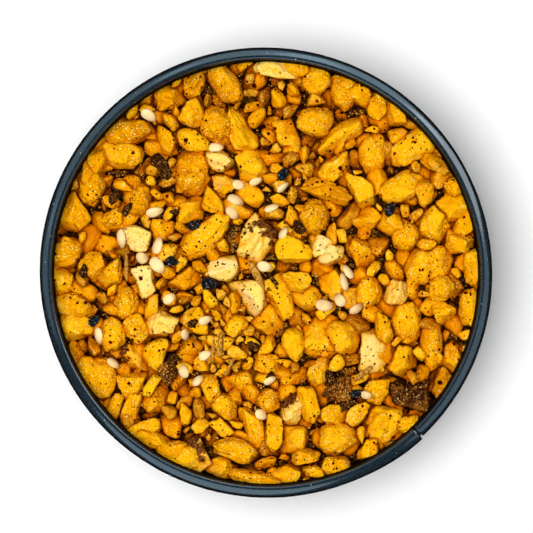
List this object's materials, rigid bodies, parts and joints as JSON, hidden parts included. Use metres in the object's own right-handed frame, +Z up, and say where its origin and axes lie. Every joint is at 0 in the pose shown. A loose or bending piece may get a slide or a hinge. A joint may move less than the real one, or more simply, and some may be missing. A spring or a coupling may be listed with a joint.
{
  "type": "round tin bowl of dukkah",
  "caption": "Shallow round painted steel tin with a rolled rim and a lapped side seam, filled to just under the rim with dukkah: chopped nuts, sesame, black seeds and spices.",
  "frame": {"origin": "middle of the underside, on the surface the tin stands on", "axes": "+Z up, along the tin's axis; the side seam lies 46.7 degrees clockwise from +X seen from above"},
  "size_m": [0.0762, 0.0758, 0.0301],
  "materials": {
    "tin_paint": "satin slate-blue stoved paint on tinplate",
    "dukkah_mix": "matt, slightly oily chopped nuts, seeds and spices"
  },
  "bodies": {
    "root": {"tin_body": "tin_paint", "tin_base": "tin_paint", "dukkah": "dukkah_mix"}
  },
  "joints": []
}
